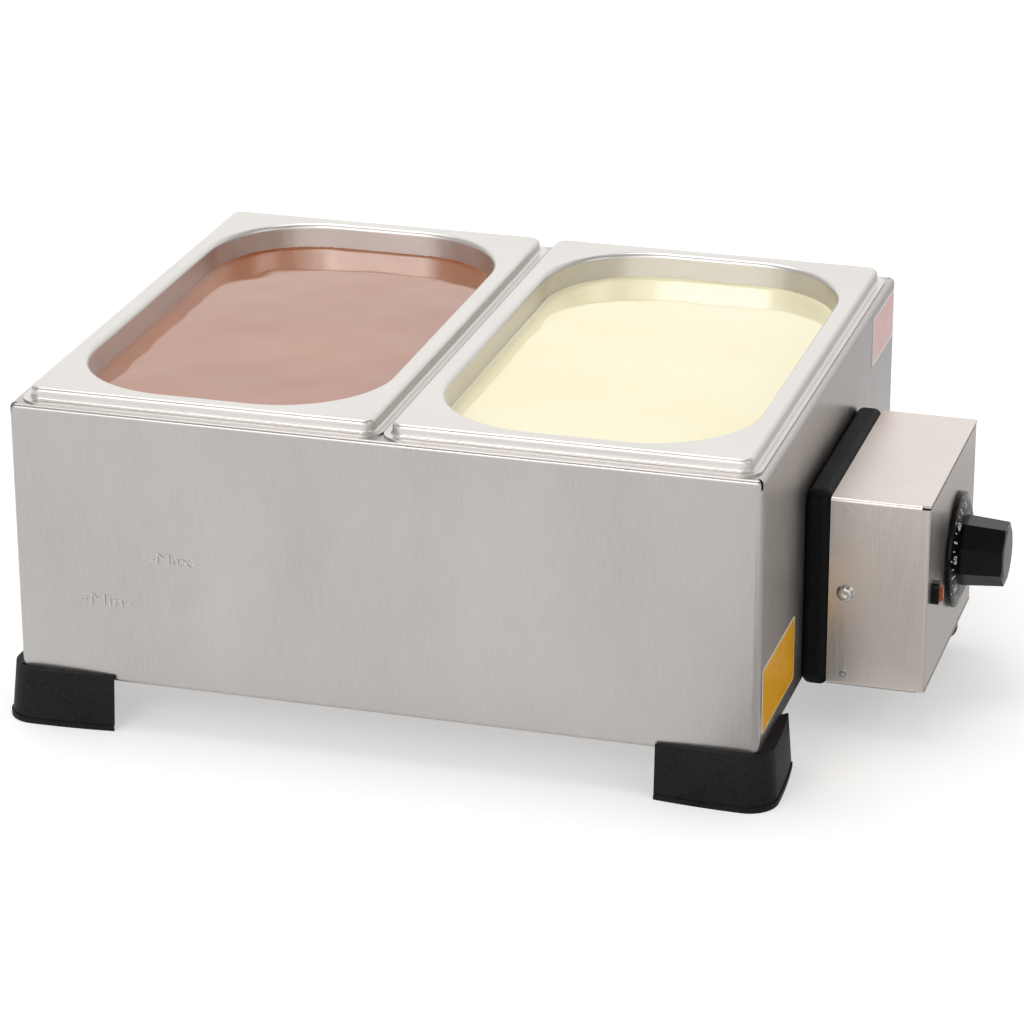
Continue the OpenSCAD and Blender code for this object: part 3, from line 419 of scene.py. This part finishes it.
def poured(name, node, body, material):
    """Melted chocolate that fills a pan, climbs its walls a little and has slow waves on its face."""
    low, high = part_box(node)
    middle = ((low.x + high.x) / 2, (low.y + high.y) / 2, high.z)
    size = (high.x - low.x + 2 * wall_reach, high.y - low.y + 2 * wall_reach)
    deep = high.z - low.z
    bpy.ops.object.select_all(action="DESELECT")
    bpy.ops.mesh.primitive_plane_add(size=1.0)
    piece = bpy.context.object
    piece.name = name
    piece.scale = (*size, 1.0)
    bpy.ops.object.transform_apply(location=False, rotation=False, scale=True)
    bpy.ops.object.mode_set(mode="EDIT")
    bpy.ops.mesh.select_all(action="SELECT")
    bpy.ops.mesh.bevel(affect="VERTICES", offset=corner_radius + wall_reach, segments=28, profile=0.5)
    bpy.ops.mesh.select_mode(type="FACE")
    bpy.ops.mesh.select_all(action="SELECT")
    for ring, rise in rim_rings:
        bpy.ops.mesh.inset(thickness=ring)
    cut_across(size, wave_grid)
    pick_open_edges()
    for ring, rise in rim_rings:
        bpy.ops.transform.translate(value=(0, 0, rise))
        bpy.ops.mesh.select_more()
    bpy.ops.mesh.select_all(action="INVERT")
    bpy.ops.object.vertex_group_add()
    bpy.ops.object.vertex_group_assign()
    piece.vertex_groups.active.name = "open_face"
    pick_open_edges()
    climb = sum(rise for ring, rise in rim_rings)
    straight = climb + deep - sum(drop for drop, narrowing in floor_bend)
    for drop, narrowing in ((straight, wall_narrowing), *floor_bend):
        bpy.ops.mesh.extrude_region_move(TRANSFORM_OT_translate={"value": (0, 0, -drop)})
        bpy.ops.transform.resize(value=(1 - narrowing / size[0], 1 - narrowing / size[1], 1))
    bpy.ops.mesh.edge_face_add()
    bpy.ops.mesh.select_all(action="SELECT")
    bpy.ops.mesh.normals_make_consistent(inside=False)
    bpy.ops.object.mode_set(mode="OBJECT")
    piece.location = middle
    bpy.ops.object.transform_apply(location=True, rotation=False, scale=False)
    bpy.ops.object.shade_smooth_by_angle(angle=math.radians(60))
    slow_waves = bpy.data.textures.new(name + "_waves", "CLOUDS")
    slow_waves.noise_scale = wave_width
    slow_waves.noise_depth = 1
    taken_on(piece, "DISPLACE", "waves", texture=slow_waves, texture_coords="LOCAL", direction="Z",
             strength=wave_height, mid_level=0.5, vertex_group="open_face")
    placed(piece, node, body, material)
    return piece


corner_radius = 0.0474
rim_rings = ((0.0002, 0.0005), (0.0004, 0.0003), (0.0007, 0.0002), (0.0012, 0.0001))
wall_narrowing = 0.0098
floor_bend = ((0.012, 0.010), (0.004, 0.018))
wall_reach = 0.0003
wave_grid = 0.003
wave_width = 0.035
wave_height = 0.0006
milk_chocolate = melted("milk_chocolate", tone(154, 76, 3), tone(168, 88, 8), (1.0, 0.45, 0.2), 0.1)
poured("milk_chocolate_melt", "milk_chocolate", "left_pan_load", milk_chocolate)
white_chocolate = melted("white_chocolate", tone(252, 241, 190), tone(255, 248, 207),
                         (1.0, 0.85, 0.5), 0.15)
poured("white_chocolate_melt", "white_chocolate", "right_pan_load", white_chocolate)

# Heater and sensor inside the bath
# A bent tubular heater and a copper sensing bulb lie in the water under the pans, on strips of steel.
# Both go out through the right wall in brass fittings with gaskets, nutted from the box's side.


def worn_metal(name, dark, pale, smooth, rough, per_metre):
    """Turned or drawn metal that hot water has dulled unevenly."""
    material, tree, shader = start_material(name)
    marks = grain(tree, per_metre, 4.0, 0.6)
    tree.links.new(blended(tree, ranged(tree, marks, 0.0, 1.0), dark, pale), shader.inputs["Base Color"])
    tree.links.new(ranged(tree, marks, smooth, rough), shader.inputs["Roughness"])
    raised(tree, shader, marks, 0.00005, 0.3)
    shader.inputs["Metallic"].default_value = 1.0
    return material


heater_steel = worn_metal("heater_steel", tone(84, 82, 80), tone(128, 125, 120), 0.35, 0.55, (90, 90, 90))
dress(heater_steel, "heating_element")
stand_steel = worn_metal("stand_steel", tone(150, 148, 145), tone(182, 180, 176), 0.3, 0.42, (220, 220, 220))
dress(stand_steel, "heater_stand", "bulb_stand")
brass = worn_metal("brass", tone(176, 138, 74), tone(206, 170, 100), 0.25, 0.4, (240, 240, 240))
dress(brass, "heater_bushes", "heater_nuts", "bulb_gland", "bulb_gland_nut")
copper = worn_metal("copper", tone(160, 98, 66), tone(196, 132, 96), 0.28, 0.45, (180, 180, 180))
dress(copper, "sensing_bulb", "capillary_tube")
gasket_rubber = moulded_rubber("gasket_rubber", tone(130, 40, 30), tone(158, 58, 44), 0.5, 0.65, 900)
dress(gasket_rubber, "heater_gaskets")

# Control box
# A small box of the same brushed steel hangs on the right wall, held off it by a black rubber pad.
# A bracket on four studs takes it, and rivets and a socket screw hold each side.
pad_rubber = moulded_rubber("pad_rubber", tone(4, 4, 5), tone(8, 8, 9), 0.48, 0.6, 900)
dress(pad_rubber, "spacer_pad")
box_steel = brushed_steel("box_steel", tone(203, 195, 188), tone(213, 205, 198), 0.27, 0.36,
                          (2200, 2200, 80), (34, 34, 12))
dress(box_steel, "control_box_shell")
bright_steel = worn_metal("bright_steel", tone(176, 174, 171), tone(212, 210, 207), 0.16, 0.28,
                          (400, 400, 400))
dress(bright_steel, "box_rivets", "box_screws", "box_screw_nuts", "thermostat_screws",
      "terminal_block_screw", "bracket_studs", "bracket_nuts")
zinc = worn_metal("zinc", tone(150, 152, 156), tone(186, 188, 190), 0.3, 0.45, (120, 120, 120))
dress(zinc, "mounting_bracket", "thermostat_body", "thermostat_spindle")

# Thermostat knob
# A black moulded grip with eight flats stands on a bevelled dial, and a grey cap closes its end.
# The three are pressed on the thermostat's spindle and turn with it.


def moulded_plastic(name, dark, pale, smooth, rough, grains, depth, shine):
    """Moulded plastic with a fine skin, as shiny as its mould was polished."""
    material, tree, shader = start_material(name)
    skin = grain(tree, (grains, grains, grains), 3.0, 0.55)
    clouds = grain(tree, (70, 70, 70), 3.0, 0.55)
    tree.links.new(blended(tree, ranged(tree, clouds, 0.0, 1.0), dark, pale), shader.inputs["Base Color"])
    tree.links.new(ranged(tree, clouds, smooth, rough), shader.inputs["Roughness"])
    raised(tree, shader, skin, depth, 0.3)
    shader.inputs["Specular IOR Level"].default_value = shine
    return material


black_plastic = moulded_plastic("black_plastic", tone(4, 4, 5), tone(7, 7, 8), 0.14, 0.24,
                                900, 0.00003, 0.2)
edged("dial_skirt", "dial", 0.0003, "knob", black_plastic)
edged("knob_grip", "grip", 0.0008, "knob", black_plastic)
cap_plastic = moulded_plastic("cap_plastic", tone(88, 88, 90), tone(116, 116, 119), 0.3, 0.42,
                              500, 0.00006, 0.5)
dress(cap_plastic, "knob_cap")

# Dial marks
# White numbers, dots and ticks are printed round the dial's sloping edge and turn with the knob.
# The numbers stand with their feet to the middle, one for every twenty degrees of heat.
dial_low, dial_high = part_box("dial_skirt")
dial_middle = (dial_low + dial_high) / 2
edge_radius = (dial_high.z - dial_low.z) / 2
face_radius = 0.0185
edge_rise = 0.0016
face_rise = dial_high.x - dial_low.x
slope = math.atan2(face_rise - edge_rise, edge_radius - face_radius)
ink = moulded_plastic("dial_ink", tone(205, 205, 203), tone(232, 232, 230), 0.4, 0.5,
                      900, 0.00002, 0.3)
ink_proud = 0.00005


def printed(mark, radius, angle):
    """Lays a flat mark on the dial's slope at a distance from the axis and an angle up from the front."""
    outward = Vector((0, -math.cos(angle), math.sin(angle)))
    up_slope = math.cos(slope) * outward - math.sin(slope) * Vector((1, 0, 0))
    facing = math.sin(slope) * outward + math.cos(slope) * Vector((1, 0, 0))
    rise = edge_rise + (edge_radius - radius) * math.tan(slope)
    foot = Vector((dial_low.x + rise, dial_middle.y, dial_middle.z)) + radius * outward
    turn = Matrix((up_slope.cross(facing), up_slope, facing)).transposed().to_4x4()
    mark.matrix_world = Matrix.Translation(foot) @ turn @ Matrix.Diagonal((*mark.scale, 1.0))
    bpy.ops.object.transform_apply(location=True, rotation=True, scale=True)
    return mark


def tick(radius, angle, long, wide):
    """A short printed bar along the slope, with rounded ends."""
    bpy.ops.object.select_all(action="DESELECT")
    bpy.ops.mesh.primitive_cube_add(size=1.0)
    mark = bpy.context.object
    mark.scale = (wide, long, 2 * ink_proud)
    bpy.ops.object.transform_apply(location=False, rotation=False, scale=True)
    taken_on(mark, "BEVEL", "round_ends", width=wide * 0.3, segments=2, limit_method="ANGLE")
    cleaned(mark)
    return printed(mark, radius, angle)


def number(words, radius, angle, tall):
    """A printed number, its top towards the edge."""
    type_height = 0.7
    type_depth = 0.02
    bpy.ops.object.select_all(action="DESELECT")
    bpy.ops.object.text_add()
    text = bpy.context.object
    text.data.body = words
    text.data.align_x = "CENTER"
    text.data.align_y = "CENTER"
    text.data.resolution_u = 3
    text.data.extrude = type_depth
    text.data.offset = 0.01
    bpy.ops.object.convert(target="MESH")
    mark = bpy.context.object
    mark.scale = (tall / type_height, tall / type_height, ink_proud / type_depth)
    return printed(mark, radius, angle)


marks = []
number_step = math.radians(40)
first_number = math.radians(129)
number_radius = 0.0216
number_tall = 0.0028
dot_radius = 0.0249
dot_size = 0.0008
thin_tick = {"radius": 0.0234, "long": 0.0018, "wide": 0.0004}
bold_tick = {"radius": 0.0228, "long": 0.003, "wide": 0.0008}
numbers = 7
heat_step = 20
for count in range(numbers):
    here = first_number - count * number_step
    marks.append(number(str(heat_step * count), number_radius, here, number_tall))
    marks.append(tick(dot_radius, here, dot_size, dot_size))
    if count < numbers - 1:
        marks.append(tick(angle=here - number_step / 4, **thin_tick))
        marks.append(tick(angle=here - number_step / 2, **bold_tick))
        marks.append(tick(angle=here - number_step * 3 / 4, **thin_tick))
bpy.ops.object.select_all(action="DESELECT")
for mark in marks:
    mark.select_set(True)
bpy.context.view_layer.objects.active = marks[0]
bpy.ops.object.join()
dial_marks = bpy.context.object
dial_marks.name = "dial_marks"
dial_marks.data.materials.clear()
dial_marks.data.materials.append(ink)
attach(dial_marks, "knob")

# Pilot lamp
# A neon lamp in a narrow black bezel, snapped into the box's end below the dial.
# Its domed orange lens is moulded in one piece and is dark while the lamp is off.
edged("lamp_bezel", "lamp_surround", 0.0003, "bath", black_plastic)
lens_plastic = moulded_plastic("lens_plastic", tone(142, 60, 14), tone(176, 84, 26), 0.2, 0.3,
                               600, 0.00004, 0.3)
edged("lamp_lens", "lamp_dome", 0.0006, "bath", lens_plastic)

# Cable gland
# A black plastic gland is screwed into the box's underside, with a locknut inside and a dome outside.
# It holds the mains lead, which isn't modelled.
dress(black_plastic, "gland_body", "gland_dome", "gland_locknut")

# Inside of the control box
# The lamp's holder, the terminal block and the heater's insulators are pale moulded plastic.
# Brown insulated wires run between them and the thermostat.
pale_plastic = moulded_plastic("pale_plastic", tone(226, 220, 204), tone(240, 236, 224), 0.4, 0.55,
                               700, 0.00004, 0.5)
dress(pale_plastic, "lamp_holder", "terminal_block", "heater_terminals")
wire_cover = moulded_plastic("wire_cover", tone(92, 50, 28), tone(118, 68, 40), 0.4, 0.5, 500, 0.00003, 0.5)
dress(wire_cover, "internal_wires")

# Studio
# White floor and sky, soft lamps, and plain cards that only show in what shines; the near-black one under the
# box is painted shadow.
# The camera stands where the photograph was taken from.
scene = bpy.context.scene
scene.view_settings.view_transform = "Standard"


def seen_directly(tree):
    """One for what the camera sees, straight or in a mirror or through glass; zero for soft light."""
    path = tree.nodes.new("ShaderNodeLightPath")
    direct = worked(tree, "ADD", path.outputs["Is Camera Ray"], path.outputs["Is Glossy Ray"])
    direct = worked(tree, "ADD", direct, path.outputs["Is Transmission Ray"])
    return worked(tree, "MINIMUM", direct, 1.0)


sky = bpy.data.worlds.new("studio_sky")
scene.world = sky
sky.use_nodes = True
sky_light = sky.node_tree.nodes["Background"]
soft_level = 0.5
sky_light.inputs["Color"].default_value = (1.0, 1.0, 1.0, 1.0)
level = ranged(sky.node_tree, seen_directly(sky.node_tree), soft_level, 1.0, 0.0, 1.0)
sky.node_tree.links.new(level, sky_light.inputs["Strength"])

bpy.ops.object.select_all(action="DESELECT")
bpy.ops.mesh.primitive_plane_add(size=12.0)
floor = bpy.context.object
floor.name = "studio_floor"
floor_white = bpy.data.materials.new("floor_white")
floor_white.use_nodes = True
floor_tree = floor_white.node_tree
floor_tree.nodes.remove(floor_tree.nodes["Principled BSDF"])
matt = floor_tree.nodes.new("ShaderNodeBsdfDiffuse")
matt.inputs["Color"].default_value = (0.8, 0.8, 0.8, 1.0)
glow = floor_tree.nodes.new("ShaderNodeEmission")
glow_level = 0.4
glow_seen = worked(floor_tree, "MULTIPLY", seen_directly(floor_tree), glow_level)
floor_tree.links.new(glow_seen, glow.inputs["Strength"])
both = floor_tree.nodes.new("ShaderNodeAddShader")
floor_tree.links.new(matt.outputs["BSDF"], both.inputs[0])
floor_tree.links.new(glow.outputs["Emission"], both.inputs[1])
floor_tree.links.new(both.outputs["Shader"], floor_tree.nodes["Material Output"].inputs["Surface"])
floor.data.materials.append(floor_white)


def soft_lamp(name, place, target, width, height, power):
    """A large soft box that faces a point."""
    bpy.ops.object.light_add(type="AREA", location=place)
    lamp = bpy.context.object
    lamp.name = name
    lamp.data.shape = "RECTANGLE"
    lamp.data.size = width
    lamp.data.size_y = height
    lamp.data.energy = power
    lamp.rotation_euler = (Vector(place) - Vector(target)).to_track_quat("Z", "Y").to_euler()
    lamp.visible_camera = False
    return lamp


aim = (0.0, 0.0, 0.08)
soft_lamp("top_lamp", (-0.4, 0.2, 1.9), aim, 1.2, 1.2, 12.5)
soft_lamp("front_lamp", (-0.55, -1.85, 1.25), aim, 0.9, 0.7, 7.0)
soft_lamp("back_lamp", (-0.55, 2.0, 0.95), aim, 2.4, 1.5, 2.6)
soft_lamp("right_lamp", (1.9, -0.7, 1.3), aim, 1.0, 1.0, 4.0)


def studio_card(name, place, target, width, height, level):
    """A plain card round the set that only shows in what shines, as the walls of a room do."""
    bpy.ops.object.select_all(action="DESELECT")
    bpy.ops.mesh.primitive_plane_add(size=1.0)
    card = bpy.context.object
    card.name = name
    card.scale = (width, height, 1.0)
    card.rotation_euler = (Vector(target) - Vector(place)).to_track_quat("Z", "Y").to_euler()
    card.location = place
    bpy.ops.object.transform_apply(location=True, rotation=True, scale=True)
    cover = bpy.data.materials.new(name)
    cover.use_nodes = True
    tree = cover.node_tree
    tree.nodes.remove(tree.nodes["Principled BSDF"])
    flat = tree.nodes.new("ShaderNodeEmission")
    flat.inputs["Strength"].default_value = level
    tree.links.new(flat.outputs["Emission"], tree.nodes["Material Output"].inputs["Surface"])
    card.data.materials.append(cover)
    card.visible_camera = False
    card.visible_diffuse = False
    card.visible_shadow = False
    return card


studio_card("ceiling_card", (0.0, -0.3, 2.4), aim, 5.0, 3.6, 0.35)
studio_card("right_card", (2.6, -0.4, 1.2), aim, 5.0, 2.6, 0.5)
studio_card("left_card", (-2.8, -0.6, 1.2), aim, 4.4, 2.6, 0.6)
studio_card("front_card", (0.0, -3.0, 1.2), aim, 5.6, 2.6, 1.5)


def floor_card(name, low_x, high_x, low_y, high_y, level, lift=0.0005):
    """A card that lies on the floor, or on another card, and only shows in what shines."""
    middle = ((low_x + high_x) / 2, (low_y + high_y) / 2, lift)
    above = (*middle[:2], 1.0)
    return studio_card(name, middle, above, high_x - low_x, high_y - low_y, level)


box_low, box_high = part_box("control_box_shell")
# Near-black card on the floor under the box, seen only in reflections: painted shadow of the box, mirrored in
# the bath's right wall.
floor_card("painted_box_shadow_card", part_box("tank_shell")[1].x, box_high.x, box_low.y, 0.16, 0.03)
floor_card("right_floor_card", box_high.x + 0.003, 1.6, -0.3, 2.4, 0.68)
floor_card("box_end_card", box_high.x + 0.003, 0.45, -0.06, 0.3, 0.55, 0.0008)
floor_card("box_front_card", 0.1, 0.24, -0.42, -0.1, 0.58)

azimuth = math.radians(16.533)
elevation = math.radians(22.065)
roll = math.radians(-0.194)
level_back = Vector((math.sin(azimuth), -math.cos(azimuth), 0.0))
back = math.cos(elevation) * level_back + Vector((0.0, 0.0, math.sin(elevation)))
level_right = Vector((math.cos(azimuth), math.sin(azimuth), 0.0))
level_up = back.cross(level_right)
right = math.cos(roll) * level_right + math.sin(roll) * level_up
up = math.cos(roll) * level_up - math.sin(roll) * level_right
bath_corner = Vector((-0.1999, -0.135, 0.022))
corner_to_right = 0.21445
corner_to_up = 0.06963
corner_to_back = 1.74232
bpy.ops.object.camera_add()
camera = bpy.context.object
camera.name = "photo_camera"
turn = Matrix((right, up, back)).transposed().to_4x4()
place = bath_corner + corner_to_right * right + corner_to_up * up + corner_to_back * back
camera.matrix_world = Matrix.Translation(place) @ turn
camera.data.sensor_width = 36.0
camera.data.lens = 139.575
camera.data.clip_start = 0.05
camera.data.clip_end = 50.0
scene.camera = camera

bpy.context.view_layer.update()
